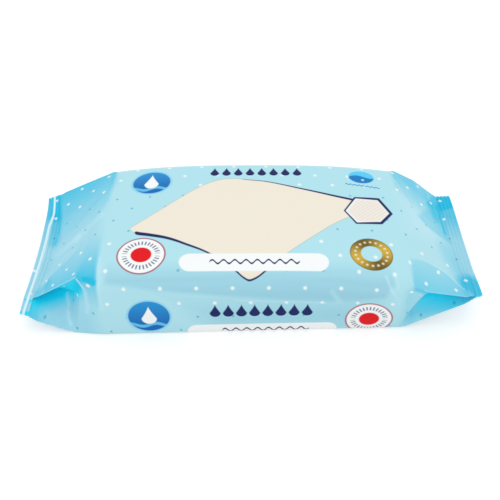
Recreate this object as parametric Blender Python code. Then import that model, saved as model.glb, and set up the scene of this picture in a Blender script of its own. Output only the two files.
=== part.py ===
"""Wet wipes pack: a printed film tube closed round a block of folded wet wipes.

The film runs round the block and is joined to itself underneath, in a seam that lies folded
flat. Past each end of the block the two sides are tucked inwards, so that the top and the
bottom come together and are pressed into a flat, ribbed end seal. The pack is sealed and
full, so film and wipes are one solid.

X runs from end seal to end seal, Y across the pack with the front at -Y, and Z up. The
origin is under the middle of the pack, on the surface that it lies on.
"""
import math

import bpy
import numpy as np

# Overall size, in metres.
LENGTH = 0.262  # from cut edge to cut edge
WIDTH = 0.1055  # across the long sides, where they stand out most
HEIGHT = 0.0455  # of the top, over the middle of the pack

# The block of wipes inside.
STACK_LENGTH = 0.171
STACK_OFFSET = 0.001  # it lies this much nearer to the right-hand seal
END_HEIGHT = 0.0420  # of the top, over the middle of each end of the block
FRONT_BULGE = 0.0005  # how far each side stands out of its straight line
BACK_BULGE = 0.0015
FRONT_EDGE_RADIUS = 0.0115  # the soft long edge at the front of the top
BACK_EDGE_RADIUS = 0.0065  # the firmer one at its back
BOTTOM_EDGE_RADIUS = 0.0018
STACK_EDGE_ROUNDING = 0.0045  # where the top turns down over the ends of the block

# The heights of the top's two long edges, half way along.
MIDDLE_FRONT_HEIGHT = 0.0419
MIDDLE_BACK_HEIGHT = 0.0440

# The film and the two end seals.
FOLD_THICKNESS = 0.00045  # of a doubled layer of film
SEAL_THICKNESS = 0.0006  # two layers pressed together, in the middle of the seal
TUCKED_SEAL_THICKNESS = 0.0009  # four layers, where the tucks are caught in it
SEAL_BAND = 0.009  # from the seal's inner line to its cut edge
SEAL_RIBS = 4  # that the jaws press along each seal
RIB_DEPTH = 0.00022
LEFT_SEAL_BOW = 0.0018  # how far the middle of the left-hand seal is drawn inwards
RIGHT_SEAL_BOW = 0.0003
TUCK_DEPTH = 0.0200  # how far each side is tucked in at the seal
TUCK_MOUTH = 0.0010  # the opening left between the tucked layers, beside the seal

# The lengthwise seam underneath: a doubled strip folded over to the back.
SEAM_FRONT = 0.0030  # its folded edge, from the middle line
SEAM_WIDTH = 0.0120
SEAM_GROOVE = 0.0006
SEAM_STEP = 0.0003  # how far it stands out of the end seals, where it is caught in them

# The four corners between the block and the end seals, in metres.
#   edge       height of the top's corner over the block's end
#   inset_top  how far the top's edge lies inside the pack's half-width, along the block
#   inset_low  the same for the bottom's edge
#   seal       height of the seal at its inner line, at this end of it
#   lift       how much higher the seal's tip is at the cut edge
#   reach_top  distance from the middle line at which the top's fold meets the seal
#   reach_low  the same for the bottom's fold
#   open       how far into the seal the tucked layers stay apart
#   flat       how far past the block the bottom lies flat
#   path       places that the top's fold goes through: how far past the block, and how high
#   sharp      how far past the block's end the edges have become sharp folds
#   turn       how far past the block the side starts to turn inwards, at its top and at its
#              bottom, and over what length it does
#   crease     where the corner's facet starts at the block, half way and at the seal, as
#              shares of the way from the middle line to the fold
LEFT_FRONT = {"edge": 0.0418, "inset_top": 0.0050, "inset_low": 0.0, "seal": 0.0098,
              "lift": 0.0038, "reach_top": 0.0360, "reach_low": 0.0488, "open": 0.0040,
              "flat": 0.0170, "path": ((0.0107, 0.0408),), "sharp": 0.0060,
              "turn": (0.0085, 0.0165, 0.0035), "crease": (0.50, 0.55, 0.60)}
LEFT_BACK = {"edge": 0.0376, "inset_top": 0.0015, "inset_low": 0.0015, "seal": 0.0196,
             "lift": -0.0040, "reach_top": 0.0474, "reach_low": 0.0490, "open": 0.0,
             "flat": 0.0140, "path": ((0.0175, 0.0293), (0.0347, 0.0213)), "sharp": 0.0100,
             "turn": (0.0020, 0.0040, 0.0060), "crease": (0.55, 0.35, 0.20)}
RIGHT_FRONT = {"edge": 0.0360, "inset_top": 0.0050, "inset_low": 0.0045, "seal": 0.0200,
               "lift": 0.0042, "reach_top": 0.0440, "reach_low": 0.0447, "open": 0.0050,
               "flat": 0.0015, "path": ((0.0023, 0.0345), (0.0148, 0.0280)),
               "sharp": 0.0050, "turn": (0.0125, -0.0010, 0.0050), "crease": (0.60, 0.62, 0.84)}
RIGHT_BACK = {"edge": 0.0385, "inset_top": 0.0015, "inset_low": 0.0015, "seal": 0.0165,
              "lift": 0.0005, "reach_top": 0.0470, "reach_low": 0.0482, "open": 0.0,
              "flat": 0.0060, "path": ((0.0033, 0.0378), (0.0188, 0.0301)),
              "sharp": 0.0100, "turn": (0.0020, 0.0040, 0.0060), "crease": (0.86, 0.30, 0.14)}
# Creases in the film of the end panels, each from one point to another of the plan view,
# with its depth (below zero for a ridge) and its half-width.
CREASES = (
    ((-0.0850, 0.0130), (-0.1190, -0.0180), -0.0009, 0.0070),
    ((-0.0880, 0.0440), (-0.1180, 0.0280), 0.0008, 0.0045),
    ((0.0890, -0.0285), (0.1190, -0.0300), 0.0006, 0.0040),
    ((0.0900, 0.0410), (0.1150, 0.0060), 0.0007, 0.0040),
)

# How finely the surface is divided.
BODY_STEPS = 9  # over half of the block
END_STEPS = 12
TOP_STEPS = 30
SIDE_STEPS = 6  # over half of a side
BOTTOM_STEPS = 9  # on each side of the seam
FINE_STEPS = 200  # along each line before it is divided

PALE_CYAN = (0.44, 0.78, 0.86, 1.0)

SEAL_START = LENGTH / 2 - SEAL_BAND
HALF_WIDTH = WIDTH / 2
SEAM_BACK = SEAM_FRONT + SEAM_WIDTH


def mix(a, b, share):
    return a + (b - a) * share


def smooth(value):
    value = np.clip(value, 0.0, 1.0)
    return value * value * (3 - 2 * value)


def ramp(value, start, rounding):
    """From 0 up to 1 at value 1, in a straight line that starts with a soft bend."""
    share = np.maximum((value - start) / (1 - start), 0.0)
    return (np.hypot(share, rounding) - rounding) / (math.hypot(1, rounding) - rounding)


def bend(start, corner_a, corner_b, end, steps):
    """A rounded corner from start to end, as rows of (y, z)."""
    a = mix(start, corner_a, 0.56)
    b = mix(end, corner_b, 0.56)
    t = np.linspace(0, 1, steps)[:, None]
    return start * (1 - t) ** 3 + a * 3 * (1 - t) ** 2 * t + b * 3 * (1 - t) * t ** 2 + end * t ** 3


def crease_drop(x, y):
    """How far the creases and ridges lower the film at points of the plan view."""
    drop = np.zeros_like(y)
    for start, stop, depth, half_width in CREASES:
        run = np.subtract(stop, start)
        off_x = x - start[0]
        off_y = y - start[1]
        share = np.clip((off_x * run[0] + off_y * run[1]) / run.dot(run), 0, 1)
        off = np.hypot(off_x - run[0] * share, off_y - run[1] * share)
        drop += depth * np.sin(np.pi * share) * smooth(1 - off / half_width)
    return drop


class Cut:
    """The film's line across the pack at x."""

    def __init__(self, x):
        self.x = x
        self.outward = math.copysign(1, x)
        stack_end = STACK_LENGTH / 2 + self.outward * STACK_OFFSET
        self.end_run = SEAL_START - stack_end
        self.past = min(max((abs(x) - stack_end) / self.end_run, 0.0), 1.0)
        reached = min(abs(x) / stack_end, 1.0)
        near = reached ** 3
        left = (LEFT_FRONT, LEFT_BACK)
        right = (RIGHT_FRONT, RIGHT_BACK)
        self.corners = left if x < 0 else right
        others = right if x < 0 else left
        self.seal_bow = LEFT_SEAL_BOW if x < 0 else RIGHT_SEAL_BOW
        middles = (MIDDLE_FRONT_HEIGHT, MIDDLE_BACK_HEIGHT)
        self.edge_z = [mix(m, c["edge"], near) for m, c in zip(middles, self.corners)]
        self.crown = mix(HEIGHT, END_HEIGHT, near) - sum(self.edge_z) / 2
        flat = sum(c["flat"] for c in self.corners) / 2
        self.middle_rise = ramp(self.past, flat / self.end_run, 0.12)
        self.top_y = []
        self.bottom_y = []
        self.top_fall = []
        self.bottom_rise = []
        self.tucked = []
        self.joined = []
        self.past_turn = []
        for corner, other in zip(self.corners, others):
            share = 0.5 - 0.5 * reached
            inset_top = mix(corner["inset_top"], other["inset_top"], share)
            inset_low = mix(corner["inset_low"], other["inset_low"], share)
            run = self.end_run + corner["open"]
            past = min(max((abs(x) - stack_end) / run, 0.0), 1.0)
            self.joined.append(abs(x) > SEAL_START + corner["open"] + 1e-9)
            self.tucked.append(smooth(past * run / corner["sharp"]))
            self.past_turn.append([(past * run - turn) / corner["turn"][2] for turn in corner["turn"][:2]])
            self.top_y.append(mix(HALF_WIDTH - inset_top, corner["reach_top"], past))
            self.bottom_y.append(mix(HALF_WIDTH - inset_low, corner["reach_low"], past))
            drop = corner["edge"] - corner["seal"]
            spots = [0.0] + [spot for spot, height in corner["path"]] + [run]
            falls = [0.0] + [(corner["edge"] - h) / drop for spot, h in corner["path"]] + [1.0]
            self.top_fall.append(np.interp(past * run, spots, falls))
            self.bottom_rise.append(ramp(past, corner["flat"] / run, 0.12))

    def bow(self, y):
        """How far this cut is drawn back towards the block in the middle of its width."""
        reach = np.where(y < 0, self.corners[0]["reach_low"], self.corners[1]["reach_low"])
        drawn = self.seal_bow * smooth(self.past) * np.maximum(1 - (y / reach) ** 2, 0)
        return -self.outward * drawn

    def by_corner(self, across, values):
        return np.where(across < 0.5, values[0], values[1])

    def seal(self, y):
        """The seal's middle height, with the ridges pressed into it, and half its thickness."""
        share = y / WIDTH + 0.5
        outward = max(abs(self.x) - SEAL_START, 0.0) / SEAL_BAND
        front, back = self.corners
        lift = front["lift"] * smooth(1 - 3 * share) + back["lift"] * smooth(3 * share - 2)
        reach = np.where(y < 0, front["reach_top"], back["reach_top"])
        caught = smooth((np.abs(y) - (reach - TUCK_DEPTH)) / 0.002 + 0.5)
        half = mix(SEAL_THICKNESS, TUCKED_SEAL_THICKNESS, caught) / 2
        rib = RIB_DEPTH * math.sin(2 * math.pi * SEAL_RIBS * outward)
        return mix(front["seal"], back["seal"], share) + lift * outward + rib, half

    def mouth(self, across):
        """Half of the opening that the tucked layers keep beside the seal."""
        off_middle = np.abs(2 * across - 1)
        closed = self.by_corner(across, self.joined)
        return TUCK_MOUTH / 2 * smooth((off_middle - 0.45) / 0.15) * (1 - closed)

    def top(self, y):
        across = np.clip((y + self.top_y[0]) / sum(self.top_y), 0, 1)
        off_middle = np.abs(2 * across - 1)
        body = mix(self.edge_z[0], self.edge_z[1], across)
        body = body + self.crown * (1 - off_middle ** 2.7)
        places = [np.interp(self.past, (0, 0.5, 1), c["crease"]) for c in self.corners]
        hip = ramp(off_middle, self.by_corner(across, places), 0.06)
        middle_fall = ramp(self.past, 0.0, STACK_EDGE_ROUNDING / self.end_run)
        fall = mix(middle_fall, self.by_corner(across, self.top_fall), hip)
        middle, half = self.seal(y)
        sealed = middle + half + self.mouth(across)
        return mix(body, sealed, fall) - crease_drop(self.x, y)

    def bottom(self, y):
        across = np.clip((y + self.bottom_y[0]) / sum(self.bottom_y), 0, 1)
        off_middle = np.abs(2 * across - 1)
        edge_rise = self.by_corner(across, self.bottom_rise)
        sealed_rise = mix(self.middle_rise, edge_rise, smooth((off_middle - 0.5) / 0.4))
        middle, half = self.seal(y)
        return (middle - half - self.mouth(across)) * sealed_rise + self.seam(y)

    def seam(self, y):
        """Grooves along both edges of the seam strip, which stands out of the end seals."""
        in_seal = smooth((abs(self.x) - SEAL_START) / 0.001)
        off_edge = np.minimum(np.abs(y - SEAM_FRONT), np.abs(y - SEAM_BACK))
        groove = np.clip(1 - off_edge / 0.0008, 0, 1)
        strip = (y > SEAM_FRONT) & (y < SEAM_BACK)
        return SEAM_GROOVE * groove * (1 - in_seal) - SEAM_STEP * strip * in_seal

    def side(self, which):
        """One side from the top panel to the bottom, tucked inwards past the block's end, as
        rows of (y, z), and three markers: the middle of the top's edge, the middle of the
        side, and the middle of the bottom's edge."""
        sign = (-1, 1)[which]
        radius = (FRONT_EDGE_RADIUS, BACK_EDGE_RADIUS)[which]
        bulge = (FRONT_BULGE, BACK_BULGE)[which]
        top_y = sign * self.top_y[which]
        bottom_y = sign * self.bottom_y[which]
        top_corner = np.array([top_y, float(self.top(np.array(top_y)))])
        bottom_corner = np.array([bottom_y, float(self.bottom(np.array(bottom_y)))])
        tucked = self.tucked[which]
        layer = min(FOLD_THICKNESS * tucked, (top_corner[1] - bottom_corner[1]) * 0.45)
        top_inner = top_corner - (0, layer)
        bottom_inner = bottom_corner + (0, layer)
        opening = (top_inner[1] - bottom_inner[1]) / self.edge_z[which]
        depth = TUCK_DEPTH * math.sqrt(max(1 - (opening / 1.03) ** 2, 0.0))
        tuck_y = (top_y + bottom_y) / 2 - sign * depth
        tuck_z = (self.top(np.array(tuck_y)) + self.bottom(np.array(tuck_y))) / 2
        tuck = np.array([tuck_y, float(tuck_z)])
        top_bend = mix(radius, 2 * FOLD_THICKNESS, tucked)
        bottom_bend = mix(BOTTOM_EDGE_RADIUS, 2 * FOLD_THICKNESS, tucked)
        if self.joined[which]:
            tuck = (top_inner + bottom_inner) / 2
            step_out = math.dist(top_inner, bottom_inner) * 0.4
            top_bend = min(top_bend, step_out)
            bottom_bend = min(bottom_bend, step_out)
        down = mix(bottom_inner - top_inner, tuck - top_inner, tucked)
        up = mix(top_inner - bottom_inner, tuck - bottom_inner, tucked)
        upper = top_inner + down / np.linalg.norm(down) * top_bend
        lower = bottom_inner + up / np.linalg.norm(up) * bottom_bend
        start_y = top_y - sign * top_bend
        end_y = bottom_y - sign * bottom_bend
        start = np.array([start_y, float(self.top(np.array(start_y)))])
        end = np.array([end_y, float(self.bottom(np.array(end_y)))])
        share = np.linspace(0, 1, 61)[:, None]
        bulged = mix(upper, lower, share)
        bulged[:, 0] += sign * bulge * 4 * (share * (1 - share))[:, 0]
        inwards = mix(upper, tuck, 2 * share)
        outwards = mix(tuck, lower, 2 * share - 1)
        turned = mix(self.past_turn[which][0], self.past_turn[which][1], share)
        turned = np.clip(turned, 0, 1) if not self.joined[which] else 1.0
        wall = mix(bulged, np.where(share < 0.5, inwards, outwards), turned)
        top_edge = bend(start, top_corner, top_inner, upper, 25)
        bottom_edge = bend(lower, bottom_inner, bottom_corner, end, 25)
        line = np.vstack([top_edge, wall[1:-1], bottom_edge])
        return line, (12, 54, 96)

    def outline(self):
        """The closed line as rows of (x, y, z): top, back, bottom and front."""
        front, (front_top, front_middle, front_low) = self.side(0)
        back, (back_top, back_middle, back_low) = self.side(1)
        top_y = np.linspace(front[0][0], back[0][0], FINE_STEPS)[1:-1]
        top = np.column_stack([top_y, self.top(top_y)])
        top = np.vstack([front[:front_top + 1][::-1], top, back[:back_top + 1]])
        sides = [back[back_top:back_middle + 1], back[back_middle:back_low + 1]]
        far_sides = [front[front_middle:front_low + 1][::-1], front[front_top:front_middle + 1][::-1]]
        low = self.bottom_points(back[back_low:], front[front_low:][::-1])
        parts = [divided(top, TOP_STEPS, 0.75)]
        parts += [divided(line, SIDE_STEPS, 0.6) for line in sides]
        parts += [low]
        parts += [divided(line, SIDE_STEPS, 0.6) for line in far_sides]
        points = np.vstack(parts)
        return np.column_stack([self.x + self.bow(points[:, 0]), points])

    def bottom_points(self, back_edge, front_edge):
        """The bottom from its back edge to its front edge, with lines of points along the
        seam's grooves."""
        seam_y = []
        for edge in (SEAM_BACK, SEAM_FRONT):
            seam_y += [edge + 0.0009, edge, edge - 0.0009]
        seam_y.insert(3, (SEAM_BACK + SEAM_FRONT) / 2)
        seam_y = np.array(seam_y)
        seam = np.column_stack([seam_y, self.bottom(seam_y)])
        back_y = np.linspace(back_edge[-1][0], seam_y[0], FINE_STEPS)[1:]
        front_y = np.linspace(seam_y[-1], front_edge[0][0], FINE_STEPS)[:-1]
        back_part = np.vstack([back_edge, np.column_stack([back_y, self.bottom(back_y)])])
        front_part = np.vstack([np.column_stack([front_y, self.bottom(front_y)]), front_edge])
        back_part = divided(back_part, BOTTOM_STEPS, 0.6)
        front_part = divided(front_part, BOTTOM_STEPS + 3, 0.6)
        return np.vstack([back_part, seam[:-1], front_part])


def divided(line, steps, fineness):
    """Points along a line, closer together towards its ends. The last point is left out."""
    t = np.linspace(0, 1, steps + 1)[:-1]
    shares = mix(t, t * t * (3 - 2 * t), fineness)
    lengths = np.linalg.norm(np.diff(line, axis=0), axis=1)
    run = np.concatenate([[0], np.cumsum(lengths)])
    wanted = shares * run[-1]
    return np.column_stack([np.interp(wanted, run, line[:, k]) for k in (0, 1)])


def stations():
    """Where the cuts stand along the pack."""
    stack_end = STACK_LENGTH / 2 - STACK_OFFSET
    body = stack_end * np.arange(BODY_STEPS + 1) / BODY_STEPS
    share = np.arange(1, END_STEPS + 1) / END_STEPS
    end = mix(stack_end, SEAL_START, mix(share, share ** 2, 0.3))
    ribs = (np.arange(2 * SEAL_RIBS) + 0.5) / (2 * SEAL_RIBS)
    seal = SEAL_START + SEAL_BAND * np.concatenate([[0.03], ribs, [1.0]])
    half = np.concatenate([body[1:], end, seal])
    return np.concatenate([-half[::-1], [0.0], half])


def cap_faces(ring, first_index):
    """Triangles that close the flat cut edge, between its upper and its lower line."""
    count = len(ring)
    left = int(np.argmin(ring[:, 1]))
    right = int(np.argmax(ring[:, 1]))
    upper = [left]
    while upper[-1] != right:
        upper.append((upper[-1] + 1) % count)
    lower = [left]
    while lower[-1] != right:
        lower.append((lower[-1] - 1) % count)
    faces = []
    i = 0
    j = 0
    while i < len(upper) - 1 or j < len(lower) - 1:
        up_done = i == len(upper) - 1
        low_done = j == len(lower) - 1
        if low_done or (not up_done and ring[upper[i + 1], 1] <= ring[lower[j + 1], 1]):
            face = (upper[i], upper[i + 1], lower[j])
            i += 1
        else:
            face = (upper[i], lower[j + 1], lower[j])
            j += 1
        if len(set(face)) == 3:
            faces.append(tuple(first_index + k for k in face))
    return faces


def film_material():
    material = bpy.data.materials.new("printed_film")
    material.use_nodes = True
    shader = material.node_tree.nodes["Principled BSDF"]
    shader.inputs["Base Color"].default_value = PALE_CYAN
    shader.inputs["Roughness"].default_value = 0.28
    shader.inputs["Metallic"].default_value = 0.0
    material.diffuse_color = PALE_CYAN
    return material


def build_pack():
    rings = [Cut(x).outline() for x in stations()]
    count = len(rings[0])
    faces = []
    for ring in range(len(rings) - 1):
        for k in range(count):
            after = (k + 1) % count
            faces.append((ring * count + k, (ring + 1) * count + k,
                          (ring + 1) * count + after, ring * count + after))
    faces += cap_faces(rings[0], 0)
    faces += [face[::-1] for face in cap_faces(rings[-1], (len(rings) - 1) * count)]
    mesh = bpy.data.meshes.new("film_pack")
    mesh.from_pydata(np.vstack(rings).tolist(), [], faces)
    mesh.validate()
    mesh.shade_smooth()
    mesh.set_sharp_from_angle(angle=math.radians(40))
    pack = bpy.data.objects.new("film_pack", mesh)
    pack.data.materials.append(film_material())
    bpy.context.collection.objects.link(pack)
    return pack


for thing in list(bpy.data.objects):
    bpy.data.objects.remove(thing)

build_pack()
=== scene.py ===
# %% [markdown]
# # A wet wipes pack in printed film
#
# The pack is one sheet of thin printed film. A machine folds it into a tube round a block of
# folded wipes, joins its long edges underneath, tucks the sides in past each end of the block
# and presses the ends flat between ribbed jaws. The CAD part holds that form as one solid.
# Here the same form is made much finer, with the film's wrinkles, and then printed and lit.

# %% Load the frame
import math

import bpy
import numpy as np
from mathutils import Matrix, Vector


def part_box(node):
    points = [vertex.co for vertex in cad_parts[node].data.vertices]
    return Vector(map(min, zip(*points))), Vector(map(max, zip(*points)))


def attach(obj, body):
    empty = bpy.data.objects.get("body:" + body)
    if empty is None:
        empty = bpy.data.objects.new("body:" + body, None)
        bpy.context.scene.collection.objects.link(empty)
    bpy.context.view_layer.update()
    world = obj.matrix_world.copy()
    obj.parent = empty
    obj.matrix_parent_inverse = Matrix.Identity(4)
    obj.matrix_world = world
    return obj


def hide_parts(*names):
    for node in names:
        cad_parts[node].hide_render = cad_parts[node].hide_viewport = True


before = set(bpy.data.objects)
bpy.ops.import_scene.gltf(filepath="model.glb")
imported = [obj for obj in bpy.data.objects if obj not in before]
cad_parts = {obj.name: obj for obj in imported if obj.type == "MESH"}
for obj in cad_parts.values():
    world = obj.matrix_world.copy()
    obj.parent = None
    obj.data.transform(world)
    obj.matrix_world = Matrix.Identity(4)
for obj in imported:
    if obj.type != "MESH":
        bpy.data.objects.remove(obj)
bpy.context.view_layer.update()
LOW, HIGH = (np.array(corner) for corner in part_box("film_pack"))
print("CAD box in mm", (LOW * 1000).round(2), (HIGH * 1000).round(2))

# %% [markdown]
# ## The sizes
#
# The overall length, width and height come from the CAD box. The rest are the CAD part's own
# sizes, written again because this script reads nothing but the frame. Metres throughout.

# %% Sizes
LENGTH, WIDTH, HEIGHT = HIGH - LOW
HEIGHT -= 0.0002  # over the middle of the pack: the highest point lies a little behind it
STACK_LENGTH = 0.171
STACK_OFFSET = 0.001  # the block lies this much nearer to the right-hand seal
END_HEIGHT = 0.0420
SIDE_BULGE = 0.0015
FRONT_EDGE_RADIUS = 0.0115
BACK_EDGE_RADIUS = 0.0065
BOTTOM_EDGE_RADIUS = 0.0018
STACK_EDGE_ROUNDING = 0.0045
MIDDLE_FRONT_HEIGHT = 0.0419
MIDDLE_BACK_HEIGHT = 0.0440
FOLD_THICKNESS = 0.00045
SEAL_THICKNESS = 0.0006
TUCKED_SEAL_THICKNESS = 0.0009
SEAL_BAND = 0.009
TUCK_DEPTH = 0.0200
TUCK_MOUTH = 0.0010
LAYER_GAP = 0.0006  # least distance between a tucked layer and the film above or below it,
LAYER_SHARE = 0.3  # or, where that is less, this share of the height between those two
SIDE_SLACK = 1.03  # length of the side's film, over the block's height beside it
SEAM_FRONT = 0.0030
SEAM_WIDTH = 0.0120
SEAM_GROOVE = 0.0006
SEAM_STEP = 0.0003
# How far each seal's cut edge is drawn inwards at five places across it, from -1, the front,
# to 1, the back. One smooth curve goes through them.
SEAL_BOW = {"left": ((-1, 0), (-0.45, 0.0008), (0, 0.0022), (0.6, 0.0024), (1, 0.0003)),
            "right": ((-1, 0), (-0.4, -0.0002), (0, 0.0002), (0.5, 0.0005), (1, 0.0013))}

SEAL_START = LENGTH / 2 - SEAL_BAND
HALF_WIDTH = WIDTH / 2 + 0.0001
SEAM_BACK = SEAM_FRONT + SEAM_WIDTH

# One entry for each corner between the block and a seal, in metres:
#   edge       height of the top's corner over the block's end
#   inset_top  how far the top's edge lies inside the pack's half-width, along the block
#   inset_low  the same for the bottom's edge
#   seal       height of the seal at its inner line, at this end of it
#   lift       how much higher the seal's tip is at the cut edge
#   reach_top  distance from the middle line at which the top's fold meets the seal
#   reach_low  the same for the bottom's fold
#   open       how far into the seal the tucked layers stay apart
#   early      how far before the block's end the corner starts to fall. The lengths in the
#              next four are measured from there.
#   flat       how far the bottom lies flat
#   path       places that the top's fold goes through: how far along, and how high
#   sharp      where the edges have become sharp folds
#   turn       where the side starts to turn inwards, at its top and at its bottom, and over
#              what length it does
#   crease     where the corner's facet starts at the block, half way and at the seal, as
#              shares of the way from the middle line to the fold
CORNERS = {
    ("left", "front"): dict(
        edge=0.0418, inset_top=0.0050, inset_low=0.0, seal=0.0098, lift=0.0038, reach_top=0.0360,
        reach_low=0.0488, open=0.0040, early=0.0, flat=0.0170, path=((0.0107, 0.0408),),
        sharp=0.0060, turn=(0.0075, 0.0155, 0.0060), crease=(0.50, 0.55, 0.60)),
    ("left", "back"): dict(
        edge=0.0388, inset_top=0.0015, inset_low=0.0015, seal=0.0202, lift=-0.0040,
        reach_top=0.0474, reach_low=0.0490, open=0.0, early=0.0030, flat=0.0170,
        path=((0.0070, 0.0353), (0.0375, 0.0222)), sharp=0.0050, turn=(0.0020, 0.0040, 0.0060),
        crease=(0.55, 0.35, 0.20)),
    ("right", "front"): dict(
        edge=0.0360, inset_top=0.0050, inset_low=0.0045, seal=0.0200, lift=0.0042,
        reach_top=0.0440, reach_low=0.0447, open=0.0050, early=0.0, flat=0.0015,
        path=((0.0023, 0.0345), (0.0148, 0.0280)), sharp=0.0050, turn=(0.0125, -0.0010, 0.0050),
        crease=(0.60, 0.62, 0.84)),
    ("right", "back"): dict(
        edge=0.0387, inset_top=0.0015, inset_low=0.0015, seal=0.0170, lift=0.0005,
        reach_top=0.0470, reach_low=0.0482, open=0.0, early=0.0, flat=0.0060,
        path=((0.0033, 0.0376), (0.0188, 0.0301)), sharp=0.0060, turn=(0.0020, 0.0040, 0.0060),
        crease=(0.86, 0.30, 0.14)),
}

# %% [markdown]
# ## The section of the film tube
#
# Every cut across the pack is one closed line of film: the top panel, a rounded or a folded
# edge, a side that bulges over the block and is tucked in beyond it, another edge, and the
# bottom. A loft through many such cuts is the natural way to make a form that changes from a
# soft box to a flat seal. Each line is laid out finely here and then divided again by length,
# so that a point of the mesh follows the same thread of the film from one seal to the other.

# %% Small curves
ROUNDNESS = 0.56  # how far a bend's handles reach to its corner; 0.552 makes part of a circle


def mix(a, b, share):
    return a + (b - a) * share


def smooth(value):
    value = np.clip(value, 0.0, 1.0)
    return value * value * (3 - 2 * value)


def ramp(value, start, rounding):
    """From 0 up to 1 at value 1, in a straight line that starts with a soft bend."""
    share = np.maximum((value - start) / (1 - start), 0.0)
    return (np.hypot(share, rounding) - rounding) / (math.hypot(1, rounding) - rounding)


def bend(start, corner_a, corner_b, end, steps):
    """A rounded corner from start to end, as rows of (y, z)."""
    a = mix(start, corner_a, ROUNDNESS)
    b = mix(end, corner_b, ROUNDNESS)
    t = np.linspace(0, 1, steps)[:, None]
    return start * (1 - t) ** 3 + a * 3 * (1 - t) ** 2 * t + b * 3 * (1 - t) * t ** 2 + end * t ** 3


def spread(y, reaches):
    """The place from the front reach to the back one, 0 to 1, and how far off the middle."""
    across = np.clip((y + reaches[0]) / sum(reaches), 0, 1)
    return across, np.abs(2 * across - 1)


# %% One cut across the pack
WALL_STEPS = 61  # points down a side, and round each of its bends
BEND_STEPS = 25
FULLY_TUCKED = 0.99


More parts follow.
